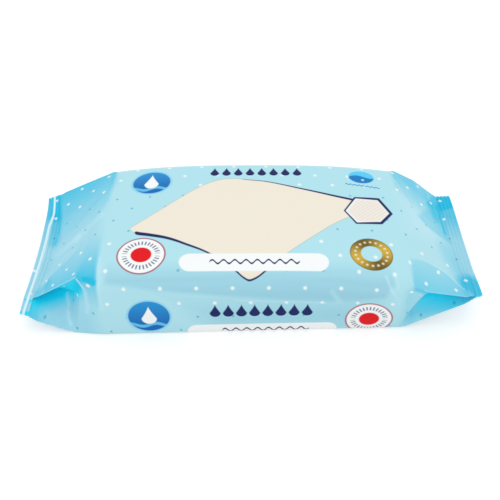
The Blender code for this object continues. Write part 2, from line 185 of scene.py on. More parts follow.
class Cut:
    """The film's line across the pack at x."""

    def __init__(self, x):
        self.x = x
        self.end = "left" if x < 0 else "right"
        stack_end = STACK_LENGTH / 2 + math.copysign(STACK_OFFSET, x)
        self.end_run = SEAL_START - stack_end
        self.past = min(max((abs(x) - stack_end) / self.end_run, 0.0), 1.0)
        near = min(abs(x) / stack_end, 1.0) ** 3
        self.corners = [CORNERS[self.end, "front"], CORNERS[self.end, "back"]]
        middles = (MIDDLE_FRONT_HEIGHT, MIDDLE_BACK_HEIGHT)
        self.edge_z = [mix(m, c["edge"], near) for m, c in zip(middles, self.corners)]
        self.crown = mix(HEIGHT, END_HEIGHT, near) - sum(self.edge_z) / 2
        flat = sum(c["flat"] for c in self.corners) / 2
        self.middle_rise = ramp(self.past, flat / self.end_run, 0.12)
        self.top_y, self.bottom_y, self.top_fall, self.bottom_rise = [], [], [], []
        self.tucked, self.joined, self.past_turn = [], [], []
        for which, corner in enumerate(self.corners):
            other = CORNERS["right" if x < 0 else "left", ("front", "back")[which]]
            share = 0.5 - 0.5 * min(abs(x) / stack_end, 1.0)
            inset_top = mix(corner["inset_top"], other["inset_top"], share)
            inset_low = mix(corner["inset_low"], other["inset_low"], share)
            run = self.end_run + corner["open"] + corner["early"]
            past = min(max((abs(x) - stack_end + corner["early"]) / run, 0.0), 1.0)
            self.joined.append(abs(x) > SEAL_START + corner["open"] + 1e-9)
            self.tucked.append(smooth(past * run / corner["sharp"]))
            *starts, turn_run = corner["turn"]
            self.past_turn.append([(past * run - start) / turn_run for start in starts])
            self.top_y.append(mix(HALF_WIDTH - inset_top, corner["reach_top"], past))
            self.bottom_y.append(mix(HALF_WIDTH - inset_low, corner["reach_low"], past))
            drop = corner["edge"] - corner["seal"]
            spots = [0.0] + [spot for spot, height in corner["path"]] + [run]
            falls = [0.0] + [(corner["edge"] - h) / drop for spot, h in corner["path"]] + [1.0]
            self.top_fall.append(np.interp(past * run, spots, falls))
            self.bottom_rise.append(ramp(past, corner["flat"] / run, 0.04))

    def bow(self, y):
        """How far this cut is moved along the pack at y, as its seal's cut edge bows inwards."""
        reach = np.where(y < 0, *(corner["reach_low"] for corner in self.corners))
        across, inwards = zip(*SEAL_BOW[self.end])
        drawn = np.polyval(np.polyfit(across, inwards, 4), np.clip(y / reach, -1, 1))
        return -math.copysign(1, self.x) * drawn * smooth(self.past)

    def seal(self, y):
        """The seal's middle height and half of its thickness."""
        share = y / WIDTH + 0.5
        outward = max(abs(self.x) - SEAL_START, 0.0) / SEAL_BAND
        front, back = self.corners
        lift = front["lift"] * smooth(1 - 3 * share) + back["lift"] * smooth(3 * share - 2)
        reach = np.where(y < 0, front["reach_top"], back["reach_top"])
        caught = smooth((np.abs(y) - (reach - TUCK_DEPTH)) / 0.002 + 0.5)
        half = mix(SEAL_THICKNESS, TUCKED_SEAL_THICKNESS, caught) / 2
        return mix(front["seal"], back["seal"], share) + lift * outward, half

    def mouth(self, across, off_middle):
        """Half of the opening that the tucked layers keep beside the seal."""
        closed = np.where(across < 0.5, *self.joined)
        return TUCK_MOUTH / 2 * smooth((off_middle - 0.45) / 0.15) * (1 - closed)

    def top(self, y):
        across, off_middle = spread(y, self.top_y)
        body = mix(*self.edge_z, across) + self.crown * (1 - off_middle ** 2.7)
        places = [np.interp(self.past, (0, 0.5, 1), c["crease"]) for c in self.corners]
        hip = ramp(off_middle, np.where(across < 0.5, *places), 0.06)
        edge_fall = np.where(across < 0.5, *self.top_fall)
        fall = mix(ramp(self.past, 0.0, STACK_EDGE_ROUNDING / self.end_run), edge_fall, hip)
        middle, half = self.seal(y)
        return mix(body, middle + half + self.mouth(across, off_middle), fall)

    def bottom(self, y):
        across, off_middle = spread(y, self.bottom_y)
        edge_rise = np.where(across < 0.5, *self.bottom_rise)
        sealed_rise = mix(self.middle_rise, edge_rise, smooth((off_middle - 0.5) / 0.4))
        middle, half = self.seal(y)
        return (middle - half - self.mouth(across, off_middle)) * sealed_rise + self.seam(y)

    def seam(self, y):
        """Grooves along both edges of the seam strip, which stands out of the end seals."""
        in_seal = smooth((abs(self.x) - SEAL_START) / 0.001)
        off_edge = np.minimum(np.abs(y - SEAM_FRONT), np.abs(y - SEAM_BACK))
        groove = smooth(1 - off_edge / 0.0011)
        strip = smooth((SEAM_WIDTH / 2 - np.abs(y - (SEAM_FRONT + SEAM_BACK) / 2)) / 0.0004)
        return SEAM_GROOVE * groove * (1 - in_seal) - SEAM_STEP * strip * in_seal

    def side(self, which, radius):
        """Rows of (y, z) from the top panel down one side to the bottom, and three markers:
        the middle of the top's edge, the middle of the side, and that of the bottom's edge."""
        sign = 1 if which else -1
        top_y, bottom_y = sign * self.top_y[which], sign * self.bottom_y[which]
        top_corner = np.array([top_y, self.top(top_y)])
        bottom_corner = np.array([bottom_y, self.bottom(bottom_y)])
        tucked = self.tucked[which]
        layer = min(FOLD_THICKNESS * tucked, (top_corner[1] - bottom_corner[1]) * 0.45)
        top_inner = top_corner - (0, layer)
        bottom_inner = bottom_corner + (0, layer)
        opening = (top_inner[1] - bottom_inner[1]) / self.edge_z[which]
        depth = TUCK_DEPTH * math.sqrt(max(1 - (opening / SIDE_SLACK) ** 2, 0.0))
        tuck_y = (top_y + bottom_y) / 2 - sign * depth
        tuck = np.array([tuck_y, (self.top(tuck_y) + self.bottom(tuck_y)) / 2])
        top_bend = mix(radius, 2 * FOLD_THICKNESS, tucked)
        bottom_bend = mix(BOTTOM_EDGE_RADIUS, 2 * FOLD_THICKNESS, tucked)
        if self.joined[which]:
            tuck = (top_inner + bottom_inner) / 2
            step_out = math.dist(top_inner, bottom_inner) * 0.4
            top_bend, bottom_bend = min(top_bend, step_out), min(bottom_bend, step_out)
        down = mix(bottom_inner - top_inner, tuck - top_inner, tucked)
        up = mix(top_inner - bottom_inner, tuck - bottom_inner, tucked)
        upper = top_inner + down / np.linalg.norm(down) * top_bend
        lower = bottom_inner + up / np.linalg.norm(up) * bottom_bend
        start_y, end_y = top_y - sign * top_bend, bottom_y - sign * bottom_bend
        start = np.array([start_y, self.top(start_y)])
        end = np.array([end_y, self.bottom(end_y)])
        share = np.linspace(0, 1, WALL_STEPS)[:, None]
        bulged = mix(upper, lower, share)
        bulge = SIDE_BULGE if which else SIDE_BULGE / 3
        bulged[:, 0] += sign * bulge * 4 * (share * (1 - share))[:, 0]
        folded = np.where(share < 0.5, mix(upper, tuck, 2 * share), mix(tuck, lower, 2 * share - 1))
        turned = mix(*self.past_turn[which], share)
        wall = mix(bulged, folded, 1.0 if self.joined[which] else np.clip(turned, 0, 1))
        if tucked > FULLY_TUCKED and not self.joined[which]:
            inside = np.abs(wall[:, 0]) < min(self.top_y[which], self.bottom_y[which])
            above, below = self.top(wall[:, 0]), self.bottom(wall[:, 0])
            gap = np.minimum(LAYER_GAP, (above - below) * LAYER_SHARE)
            kept_off = np.clip(wall[:, 1], below + gap, above - gap)
            wall[:, 1] = np.where(inside, kept_off, wall[:, 1])
        top_edge = bend(start, top_corner, top_inner, upper, BEND_STEPS)
        bottom_edge = bend(lower, bottom_inner, bottom_corner, end, BEND_STEPS)
        line = np.vstack([top_edge, wall[1:-1], bottom_edge])
        mid_bend, mid_wall = BEND_STEPS // 2, BEND_STEPS - 1 + WALL_STEPS // 2
        return line, (mid_bend, mid_wall, len(line) - 1 - mid_bend)


# %% Dividing a cut by length
def graded(steps, fineness):
    """Shares from 0 to 1 that lie closer together at both ends."""
    t = np.linspace(0, 1, steps + 1)
    return mix(t, t * t * (3 - 2 * t), fineness)


TOP_SHARES = graded(steps=120, fineness=0.75)
SIDE_SHARES = graded(steps=30, fineness=0.7)
BOTTOM_SHARES = graded(steps=76, fineness=0.6)
TOP_POINTS, BOTTOM_POINTS = 240, 200  # of the fine line, before it is divided


def along(line, shares):
    """The points at these shares of a line's length."""
    steps = np.linalg.norm(np.diff(line, axis=0), axis=1)
    length = np.concatenate([[0], np.cumsum(steps)])
    wanted = shares * length[-1]
    return np.column_stack([np.interp(wanted, length, line[:, k]) for k in (0, 1)])


def cut_points(x):
    """The cut at x as rows of (x, y, z), from the top's front fold once round to it again."""
    cut = Cut(x)
    front, marks_front = cut.side(0, FRONT_EDGE_RADIUS)
    back, marks_back = cut.side(1, BACK_EDGE_RADIUS)
    top_y = np.linspace(front[0][0], back[0][0], TOP_POINTS)[1:-1]
    top = np.column_stack([top_y, cut.top(top_y)])
    bottom_y = np.linspace(back[-1][0], front[-1][0], BOTTOM_POINTS)[1:-1]
    bottom = np.column_stack([bottom_y, cut.bottom(bottom_y)])
    a, b, c = marks_front
    d, e, f = marks_back
    parts = [
        (np.vstack([front[:a + 1][::-1], top, back[:d + 1]]), TOP_SHARES),
        (back[d:e + 1], SIDE_SHARES),
        (back[e:f + 1], SIDE_SHARES),
        (np.vstack([back[f:], bottom, front[c:][::-1]]), BOTTOM_SHARES),
        (front[b:c + 1][::-1], SIDE_SHARES),
        (front[a:b + 1][::-1], SIDE_SHARES),
    ]
    points = np.vstack([along(line, shares)[:-1] for line, shares in parts])
    return np.column_stack([x + cut.bow(points[:, 0]), points])


# %% [markdown]
# ## The mesh of the film
#
# The cuts stand close together near the block's ends and in the seals, where the film bends
# most. The UV map holds places on the flat film in metres: U along the pack and V round it,
# with zero on the middle of the top. The print is drawn in those coordinates, so it follows
# the film over the edges and into the folds as real print does.

# %% Grid of points
BODY_CUTS, END_CUTS, SEAL_CUTS = 54, 48, 30
FIRST_SEAL_CUT = 0.0004  # past the seal's inner line; the second is twice as far


def cut_places():
    """The x of each cut, from one cut edge to the other."""
    stack_end = STACK_LENGTH / 2 - STACK_OFFSET
    body = np.linspace(0, stack_end, BODY_CUTS)
    share = np.linspace(0, 1, END_CUTS)[1:]
    end = mix(stack_end, SEAL_START, mix(share, share ** 2, 0.2))
    seal = np.append(FIRST_SEAL_CUT, np.linspace(2 * FIRST_SEAL_CUT, SEAL_BAND, SEAL_CUTS))
    half = np.concatenate([body[1:], end, SEAL_START + seal])
    return np.concatenate([-half[::-1], [0.0], half])


places = cut_places()
grid = np.array([cut_points(x) for x in places])
middle = len(places) // 2
print("cuts", grid.shape[0], "points round", grid.shape[1])


# %% Film coordinates
def film_coordinates(grid):
    """U: length along each thread from the middle cut. V: length round the middle cut."""
    steps = np.linalg.norm(np.diff(grid, axis=0), axis=2)
    u = np.vstack([np.zeros(grid.shape[1]), np.cumsum(steps, axis=0)])
    u = u - u[middle]
    ring = grid[middle]
    closed = np.vstack([ring, ring[:1]])
    around = np.concatenate([[0], np.cumsum(np.linalg.norm(np.diff(closed, axis=0), axis=1))])
    top = slice(0, len(TOP_SHARES))
    zero = np.interp(0.0, ring[top, 1], around[top])
    return u, around - zero


# The quad at which V starts again from the front: 32 in from the back edge of the bottom
SEAM_PLACE = len(TOP_SHARES) - 1 + 2 * (len(SIDE_SHARES) - 1) + 32
film_u, film_v = film_coordinates(grid)
print("girth in mm", round((film_v[-1] - film_v[0]) * 1000, 1))

# %% [markdown]
# ## Wrinkles
#
# Film that is pulled off a block and pressed flat keeps creases: the sides of the facets in
# the end panels, short gathers beside the seals, and long shallow waves below the front edge.
# Each one here is a bent line on the flat film with a height and a half-width, and the points
# near it move along the surface's normal. The creases are in the mesh, so that they show in
# every light.

# %% Creases on the flat film
CREASES = (  # from u, v to u, v; sideways bend; height, below 0 a valley; half-width; mm
    (-83.6, 12.8, -131, -20.5, -1.5, 0.55, 3.2), (-96, -11, -118, -28, 1.0, -0.45, 2.2),
    (-86, 26, -125, 2, 2.0, -0.30, 3.0), (-93.8, -46, -91.5, -58, 0.5, 0.45, 1.1),
    (-86, -20, -86.5, -46, 0.0, 0.35, 1.6), (-127, -38, -110, -14, 1.5, 0.35, 1.5),
    (-131, -36, -120, -10, 1.0, -0.30, 1.2), (-125.6, 42, -128.6, 0, -1.8, -0.55, 0.9),
    (-127.8, 38, -130.8, 8, -1.2, 0.30, 0.8), (-122, 30, -124, 6, -1.0, 0.25, 1.4),
    (-130.5, -4, -131.5, -30, 0.6, 0.25, 0.9), (-112, -92, -107, -74, 1.0, 0.35, 1.2),
    (-117, -91, -118, -77, 0.5, 0.30, 1.0), (-104, -92, -101, -78, 1.0, -0.30, 1.4),
    (91.2, -24, 91.6, -48, 0.4, -0.35, 1.3), (90, -28, 127, -39, 4.5, 0.45, 1.5),
    (100, -30.5, 124, -40, 2.0, -0.30, 1.3), (110, -24, 124, -33, 1.5, 0.30, 1.0),
    (89.8, 44, 104.2, 12.3, -1.0, -0.45, 1.6), (104.2, 12.3, 126, 4.5, -2.0, -0.35, 1.5),
    (117, 50, 117.5, 30, 0.6, 0.35, 1.1), (126.7, 40, 127.9, 6, 0.8, -0.60, 0.9),
    (123.6, 34, 125.0, 8, 0.8, 0.35, 1.0), (120.4, 36, 119, 16, 0.8, -0.35, 1.4),
    (128.4, 26, 129.2, -6, 0.4, 0.30, 0.8), (128.4, -8, 129.6, -32, 0.4, -0.30, 0.9),
    (126.2, -12, 127.0, -32, 0.4, 0.25, 0.9), (77, -41, 80.5, -59, -1.6, 0.50, 0.9),
    (81.5, -40, 84, -56, -1.4, 0.45, 0.9), (86.5, -46, 84.5, -62, -1.0, -0.45, 1.2),
    (96, -78, 112, -76.5, 0.8, 0.35, 1.2), (-83, -47.5, 30, -44, -1.4, -0.50, 1.7),
    (20, -44.6, 79, -42, 0.6, -0.45, 1.6), (-83, -48, -10, -59, -1.6, 0.40, 1.5),
    (-20, -58, 76, -59, -2.2, 0.45, 1.6), (30, -47, 78, -53, 1.2, -0.40, 2.4),
    (-88, 47, -20, 46, 1.0, -0.16, 3.0), (10, 45, 88, 48, -1.0, -0.18, 3.0),
    (-104, 98, -108, 72, 1.0, 0.35, 1.5), (104, 98, 108, 72, -1.0, 0.35, 1.5),
    (-70, 60, 50, 63, 1.5, -0.22, 2.6), (-20, 74, 84, 71, -1.5, -0.18, 3.0),
)
GROWS, FADES = 0.18, 0.25  # shares of a crease's length at its start and at its end


def relief(u, v):
    """How far the film stands out at each place, from all the creases, in metres."""
    u, v = u * 1000, v * 1000
    total = np.zeros_like(u)
    for u0, v0, u1, v1, bend_mm, height, half_width in CREASES:
        run = math.hypot(u1 - u0, v1 - v0)
        along_u, along_v = (u1 - u0) / run, (v1 - v0) / run
        t = ((u - u0) * along_u + (v - v0) * along_v) / run
        side = (v - v0) * along_u - (u - u0) * along_v - bend_mm * 4 * t * (1 - t)
        end = smooth(t / GROWS) * smooth((1 - t) / FADES)
        total += height * end * np.exp(-(side / half_width) ** 2)
    return total / 1000


def outward(grid):
    """The direction away from the pack at each point of the grid."""
    length_wise = np.gradient(grid, axis=0)
    around_it = np.roll(grid, -1, axis=1) - np.roll(grid, 1, axis=1)
    normal = np.cross(around_it, length_wise)
    size = np.linalg.norm(normal, axis=2, keepdims=True)
    return normal / np.maximum(size, 1e-12)


girth = film_v[-1] - film_v[0]
wrapped_v = np.where(film_v[:-1] > girth / 2, film_v[:-1] - girth, film_v[:-1])
facing = outward(grid)
facing *= math.copysign(1, facing[middle, len(TOP_SHARES) // 2, 2])
lift = relief(film_u, np.broadcast_to(wrapped_v, film_u.shape))
to_end = np.minimum(film_u - film_u[0], film_u[-1] - film_u)
lift *= smooth((to_end - SEAL_BAND - 0.0002) / 0.0015)  # the seals stay flat
grid = grid + facing * lift[:, :, None]


# %% Mesh
SHARP_ANGLE = math.radians(50)


def add_object(name, data):
    item = bpy.data.objects.new(name, data)
    bpy.context.collection.objects.link(item)
    return item


def cap(ring, first):
    """Triangles over a flat cut edge, between its upper and its lower line."""
    count = len(ring)
    start, stop = int(np.argmin(ring[:, 1])), int(np.argmax(ring[:, 1]))
    upper, lower = [start], [start]
    while upper[-1] != stop:
        upper.append((upper[-1] + 1) % count)
    while lower[-1] != stop:
        lower.append((lower[-1] - 1) % count)
    faces, i, j = [], 0, 0
    while i < len(upper) - 1 or j < len(lower) - 1:
        take_upper = j == len(lower) - 1 or (
            i < len(upper) - 1 and ring[upper[i + 1], 1] <= ring[lower[j + 1], 1])
        if take_upper:
            face = (upper[i], upper[i + 1], lower[j])
            i += 1
        else:
            face = (upper[i], lower[j + 1], lower[j])
            j += 1
        if len(set(face)) == 3:
            faces.append(tuple(first + k for k in face))
    return faces


def film_mesh(name, grid, u, v):
    rows, count = grid.shape[:2]
    faces = []
    for r in range(rows - 1):
        a, b = r * count, (r + 1) * count
        faces += [(a + k, b + k, b + (k + 1) % count, a + (k + 1) % count) for k in range(count)]
    faces += cap(grid[0], 0)
    faces += [f[::-1] for f in cap(grid[-1], (rows - 1) * count)]
    mesh = bpy.data.meshes.new(name)
    mesh.from_pydata(grid.reshape(-1, 3).tolist(), [], faces)
    layer = mesh.uv_layers.new(name="film")
    corners = np.zeros(len(mesh.loops), dtype=np.int32)
    mesh.loops.foreach_get("vertex_index", corners)
    uv = np.column_stack([u.reshape(-1), np.tile(v[:-1], rows)])[corners]
    place = np.arange((rows - 1) * count) % count  # of each quad, round the tube
    for corner in range(4):
        uv[np.flatnonzero(place == count - 1) * 4 + corner, 1] = v[-1 if corner > 1 else -2]
        uv[np.flatnonzero(place >= SEAM_PLACE) * 4 + corner, 1] -= v[-1] - v[0]
    layer.data.foreach_set("uv", uv.astype(np.float32).reshape(-1))
    from_cut = mesh.attributes.new("from_cut", "FLOAT", "POINT")
    from_cut.data.foreach_set("value", np.minimum(u - u[0], u[-1] - u).astype(np.float32).reshape(-1))
    mesh.shade_smooth()
    mesh.set_sharp_from_angle(angle=SHARP_ANGLE)
    return add_object(name, mesh)


pack = film_mesh("printed_film_pack", grid, film_u, film_v)
print("triangles", sum(len(p.vertices) - 2 for p in pack.data.polygons))

# %% [markdown]
# ## Crimping the end seals
#
# Heated jaws with a ribbed face press each end flat, so the ribs repeat at one pitch across
# the seal and both layers follow them. What repeats by a rule suits Geometry Nodes: the tree
# moves each point of the seals up or down by a wave of its distance from the cut edge.

# %% Small tools for nodes
def feed(node, inputs):
    """Give a node its inputs, each a plain value or the socket that it comes from."""
    for name, item in inputs.items():
        if isinstance(item, bpy.types.NodeSocket):
            node.id_data.links.new(item, node.inputs[name])
        else:
            node.inputs[name].default_value = item
    return node


def math_node(tree, operation, *items, clamp=False):
    """The result of one Math node."""
    node = tree.nodes.new("ShaderNodeMath")
    node.operation = operation
    node.use_clamp = clamp
    return feed(node, dict(enumerate(items))).outputs[0]


# %% Geometry Nodes tree for the ribs
RIB_FADE = 0.0008  # over this length, at the seal's inner line, the ribs come up

crimp = bpy.data.node_groups.new("crimp_end_seals", "GeometryNodeTree")
for title, kind in (("Film", "Geometry"), ("Rib height", "Float"), ("Rib pitch", "Float"),
                    ("Seal width", "Float"), ("Finish", "Material")):
    crimp.interface.new_socket(title, in_out="INPUT", socket_type="NodeSocket" + kind)
crimp.interface.new_socket("Film", in_out="OUTPUT", socket_type="NodeSocketGeometry")
given = crimp.nodes.new("NodeGroupInput").outputs
to_edge = crimp.nodes.new("GeometryNodeInputNamedAttribute")
to_edge.data_type = "FLOAT"
distance_in = feed(to_edge, {"Name": "from_cut"}).outputs["Attribute"]
ribs = math_node(crimp, "DIVIDE", distance_in, given["Rib pitch"])
wave = math_node(crimp, "SINE", math_node(crimp, "MULTIPLY", ribs, math.tau))
left_over = math_node(crimp, "SUBTRACT", given["Seal width"], distance_in)
pressed = math_node(crimp, "DIVIDE", left_over, RIB_FADE, clamp=True)
raised = math_node(crimp, "MULTIPLY", math_node(crimp, "MULTIPLY", wave, pressed),
                   given["Rib height"])
upwards = feed(crimp.nodes.new("ShaderNodeCombineXYZ"), {"Z": raised})
press = feed(crimp.nodes.new("GeometryNodeSetPosition"),
             {"Geometry": given["Film"], "Offset": upwards.outputs[0]})
whole = feed(crimp.nodes.new("GeometryNodeRealizeInstances"), {0: press.outputs[0]})
finish = feed(crimp.nodes.new("GeometryNodeSetMaterial"),
              {"Geometry": whole.outputs[0], "Material": given["Finish"]})
feed(crimp.nodes.new("NodeGroupOutput"), {"Film": finish.outputs[0]})


# %% Press the ribs
def apply_tree(piece, tree_used, values):
    """Run a tree on a piece with these inputs, and keep the result as its plain mesh."""
    modifier = piece.modifiers.new("press", "NODES")
    modifier.node_group = tree_used
    for item in tree_used.interface.items_tree:
        if item.in_out == "INPUT" and item.name in values:
            modifier[item.identifier] = values[item.name]
    bpy.context.view_layer.update()
    evaluated = piece.evaluated_get(bpy.context.evaluated_depsgraph_get())
    pressed_mesh = bpy.data.meshes.new_from_object(evaluated)
    piece.modifiers.remove(modifier)
    piece.data = pressed_mesh


film = bpy.data.materials.new("printed_film")
apply_tree(pack, crimp, {"Rib height": 0.00026, "Rib pitch": SEAL_BAND / 4,
                         "Seal width": SEAL_BAND, "Finish": film})

# %% [markdown]
# ## Printing the film
#
# The print is drawn by formulas in the film's own coordinates, so it stays sharp at any
# distance and needs no picture. A shape is a formula for how far a point lies outside it, in
# millimetres, and a soft step turns that distance into ink. Blender's Math nodes hold such
# formulas, but a long one is hard to read as a row of nodes, so a small class lets it be
# written as a line of Python: each sign adds one node to the film's material.

# %% Formulas made of nodes
film.use_nodes = True
tree = film.node_tree
shader = tree.nodes["Principled BSDF"]


def calc(operation, *items, clamp=False):
    """The Ink of one Math node. An item is a plain number or the Ink of another node."""
    items = [item.socket if isinstance(item, Ink) else item for item in items]
    return Ink(math_node(tree, operation, *items, clamp=clamp))


class Ink:
    """A number that a node gives at each point of the film."""

    def __init__(self, socket):
        self.socket = socket

    def __add__(self, other):
        return calc("ADD", self, other)

    def __sub__(self, other):
        return calc("SUBTRACT", self, other)

    def __rsub__(self, other):
        return calc("SUBTRACT", other, self)

    def __mul__(self, other):
        return calc("MULTIPLY", self, other)

    def __truediv__(self, other):
        return calc("DIVIDE", self, other)

    def __mod__(self, other):
        return calc("FLOORED_MODULO", self, other)

    def __abs__(self):
        return calc("ABSOLUTE", self)


def length(a, b):
    return calc("SQRT", calc("MULTIPLY_ADD", a, a, b * b))


def step_down(distance, softness=0.3):
    """1 inside a shape and 0 outside it, with an edge this soft in millimetres."""
    return calc("MULTIPLY_ADD", distance, -0.5 / softness, 0.5, clamp=True)


def within(value, low, high, softness=0.3):
    return step_down(low - value, softness) * step_down(value - high, softness)


# %% Places on the film
on_film = tree.nodes.new("ShaderNodeUVMap")
on_film.uv_map = "film"
parted = feed(tree.nodes.new("ShaderNodeSeparateXYZ"), {0: on_film.outputs["UV"]}).outputs
U = Ink(parted[0]) * 1000  # along the pack, in millimetres
V = Ink(parted[1]) * 1000  # round it: 0 on the middle of the top, below 0 to the front
to_cut = tree.nodes.new("ShaderNodeAttribute")
to_cut.attribute_name = "from_cut"
FROM_CUT = Ink(to_cut.outputs["Fac"]) * 1000  # from the nearest cut edge


# %% Colours and painting
def colour(red, green, blue):
    """A screen colour, 0 to 255, as the linear one that a shader takes."""
    linear = [(c / 255) / 12.92 if c < 10 else ((c / 255 + 0.055) / 1.055) ** 2.4
              for c in (red, green, blue)]
    return (*linear, 1.0)


def paint(under, over, mask):
    """Lay one colour over another where the mask is 1. Either may be a socket."""
    node = tree.nodes.new("ShaderNodeMix")
    node.data_type = "RGBA"
    return feed(node, {0: mask.socket, 6: under, 7: over}).outputs[2]


NAVY = colour(22, 34, 92)
WHITE = colour(243, 247, 247)
CREAM = colour(238, 231, 215)
PALE = colour(178, 226, 236)
END_PALE = colour(159, 216, 233)
DEEP = colour(0, 190, 226)
# painted highlight: a light blue laid where light catches creases, fold edges and one end panel
PAINTED_HIGHLIGHT = colour(190, 231, 243)
# painted shade: a greyer blue for the shade under the front edge
PAINTED_SHADE = colour(123, 185, 211)

# %% [markdown]
# ## The ground colour, with painted shade and highlights
#
# The film is pale in the middle and turns bluer towards both seals, as it is printed. The folds
# of the ends divide the ground into facets with a crisp side, most of them faded in as an
# airbrush does it: the print's deeper blue together with painted shade where a facet turns from
# the light, and one painted highlight. There is painted shade under the front edge, a pocket
# under each front fold in the print's deep cyan painted brighter as painted light, short fields
# of deeper blue along the folds that are partly print and partly painted shade, and thin painted
# highlights on the creases. The facets and the painted shade are laid first, then the fields,
# the pockets and the painted highlights.

# %% Shapes for the ground
def polygon(points):
    """Distance outside a convex polygon whose corners run clockwise."""
    outside = None
    for (u0, v0), (u1, v1) in zip(points, points[1:] + points[:1]):
        run = math.hypot(u1 - u0, v1 - v0)
        nu, nv = -(v1 - v0) / run, (u1 - u0) / run
        side = calc("MULTIPLY_ADD", U, nu, calc("MULTIPLY_ADD", V, nv, -(u0 * nu + v0 * nv)))
        outside = side if outside is None else calc("MAXIMUM", outside, side)
    return outside


def strip(left, right, middle, half):
    """Distance outside a strip with round ends."""
    beyond = calc("MAXIMUM", abs(U - (left + right) / 2) - ((right - left) / 2 - half), 0.0)
    return length(beyond, V - middle) - half


def way_along(start, end):
    """The share of the way from start to end, from 0 to 1."""
    run_u, run_v = end[0] - start[0], end[1] - start[1]
    square = run_u ** 2 + run_v ** 2
    at_zero = -(start[0] * run_u + start[1] * run_v) / square
    return calc("MULTIPLY_ADD", U, run_u / square,
                calc("MULTIPLY_ADD", V, run_v / square, at_zero), clamp=True)


def band(start, end, half_width, softness):
    """1 along the line from start to end, fading over the softness beyond its half-width. The
    last node rounds off the foot of the fade."""
    share = way_along(start, end)
    off_u = calc("MULTIPLY_ADD", share, start[0] - end[0], U - start[0])
    off_v = calc("MULTIPLY_ADD", share, start[1] - end[1], V - start[1])
    faded = step_down(length(off_u, off_v) - (half_width + softness / 2), softness / 2)
    return calc("SMOOTH_MAX", faded, 0.0, 0.02)


# %% Ground, with painted shade and highlights
# Facets of the ends: the print's deeper blue together with painted shade where a facet turns from the
# light, one painted highlight, and painted shade under the front edge.
FACET_INK_SHADE_AND_HIGHLIGHT = (  # colour; corners, clockwise; softness of the border; strength; and, for a colour
    # that is faded in, the two places from and to which it is
    # painted highlight: a pale patch of sheen on the right end panel
    (PAINTED_HIGHLIGHT, ((92, 22), (106, 12), (119, 6), (117, -1), (94, -6)), 8.0, 0.75, None),
    # the print's deeper blue and painted shade on the facets of the left end
    (DEEP, ((-145, 60), (-83.2, 60), (-81.7, 40), (-80.2, 30), (-85, 16), (-86, -4), (-145, -20)),
     1.6, 0.95, ((-100, -4), (-100, 56))),
    (DEEP, ((-84.6, -5), (-84.6, -47), (-128, -47), (-128, -30)), 1.2, 0.88,
     ((-95, -11), (-95, -46))),
    (DEEP, ((-100, -72), (-100, -46.9), (-84.6, -46.9), (-84.2, -72)), 1.2, 0.62,
     ((-90, -68), (-90, -48))),
    # the print's deeper blue and painted shade on the facets of the right end
    (DEEP, ((89.3, 27), (89.3, 58), (145, 58), (145, 3), (124, 4.5), (112.2, 7.2), (104.2, 12.3)),
     1.5, 0.70, ((102.8, 17.5), (110.5, 38.2))),
    (DEEP, ((104.3, 12.3), (112, 22), (122, 33), (130, 34), (130, 3.6), (124, 4.5), (112.2, 7.2)),
     1.5, 0.40, None),
    (DEEP, ((91.5, -50), (91.5, -28.4), (103, -26.6), (115.7, -29.9), (126.2, -38.3), (129, -50)),
     1.2, 0.62, ((105, -14), (105, -47))),
    (DEEP, ((85.8, -92), (87, -50), (92, -47.4), (104, -47.2), (94, -92)), 2.0, 0.22, None),
    # painted shade below the top's rounded front edge
    (PAINTED_SHADE, ((-80, -50.5), (-80, -34), (78.7, -34), (80.5, -47), (75, -57.5), (61, -60),
             (42.7, -61), (16.6, -60.3), (-11.4, -58.8), (-30.6, -56.7), (-51.4, -53.3)),
     1.6, 0.42, ((0, -34), (0, -47))),
    # painted shade on the front, lower down towards the right
    (PAINTED_SHADE, ((-20, -84), (-34, -64), (0, -62), (72, -60), (72, -84)), 9.0, 0.36, None),
    (DEEP, ((115.5, 32), (126, 52), (142, 56), (142, 39.8), (123, 31.8), (116.4, 29.5)), 0.9, 0.98,
     None),
)
FRONT_FOLD = -46.9  # its v past the block's ends, where the pockets end crisply
POCKET_END = 93.5  # they fade out this near to the block, in u
# Under each front fold the print's deep cyan is painted brighter than it is, as painted light that
# makes up for the shade inside the pocket.
POCKET_INK_AND_LIGHT = (  # colour; corners, clockwise; softness; strength
    (colour(0, 221, 246), ((-145, -38), (-85, -38), (-88.5, -55), (-117, -76), (-130, -84.5),
                           (-145, -86)), 4.0, 1.0),
    (colour(0, 190, 230), ((-99, -38), (-85, -38), (-88, -53), (-99, -60)), 3.0, 0.9),
    (colour(0, 230, 255), ((102, -38), (145, -38), (145, -82), (118, -84), (102, -79)), 5.0, 0.9),
)
# Deeper blue along the folds: partly the print's deeper blue near the seals, partly painted shade in
# the folds and tucks.
DEEP_INK_AND_SHADE_FIELDS = (  # of deeper blue: from u, v to u, v; half-width; softness; strength
    (-134, -78, -125, -88, 2.5, 6.0, 0.45), (-127, -37, -133, -43, 1.5, 5.0, 0.60),
    (-91.0, -47.2, -87.0, -48.0, 1.5, 1.5, 0.95), (-130, 28, -130, 48, 2.5, 4.0, 0.95),
    (-126, 38, -126.5, 12, 0.2, 1.2, 0.80), (-126.5, 12, -129, 2, 0.1, 1.2, 0.50),
    (-129, 30, -128.5, 4, 1.5, 5.0, 0.50), (-88, 36, -98, 36, 3.0, 8.0, 0.20),
    (120, 31, 122.5, 23, 1.2, 4.0, 0.60), (122, -6, 128, -30, 2.0, 7.0, 0.22),
    (127, 32, 127.8, 12, 0.5, 1.4, 0.85), (132, -34, 136, -44, 4.5, 6.0, 0.85),
    (97, -79, 128, -84, 2.0, 8.0, 0.55),
)
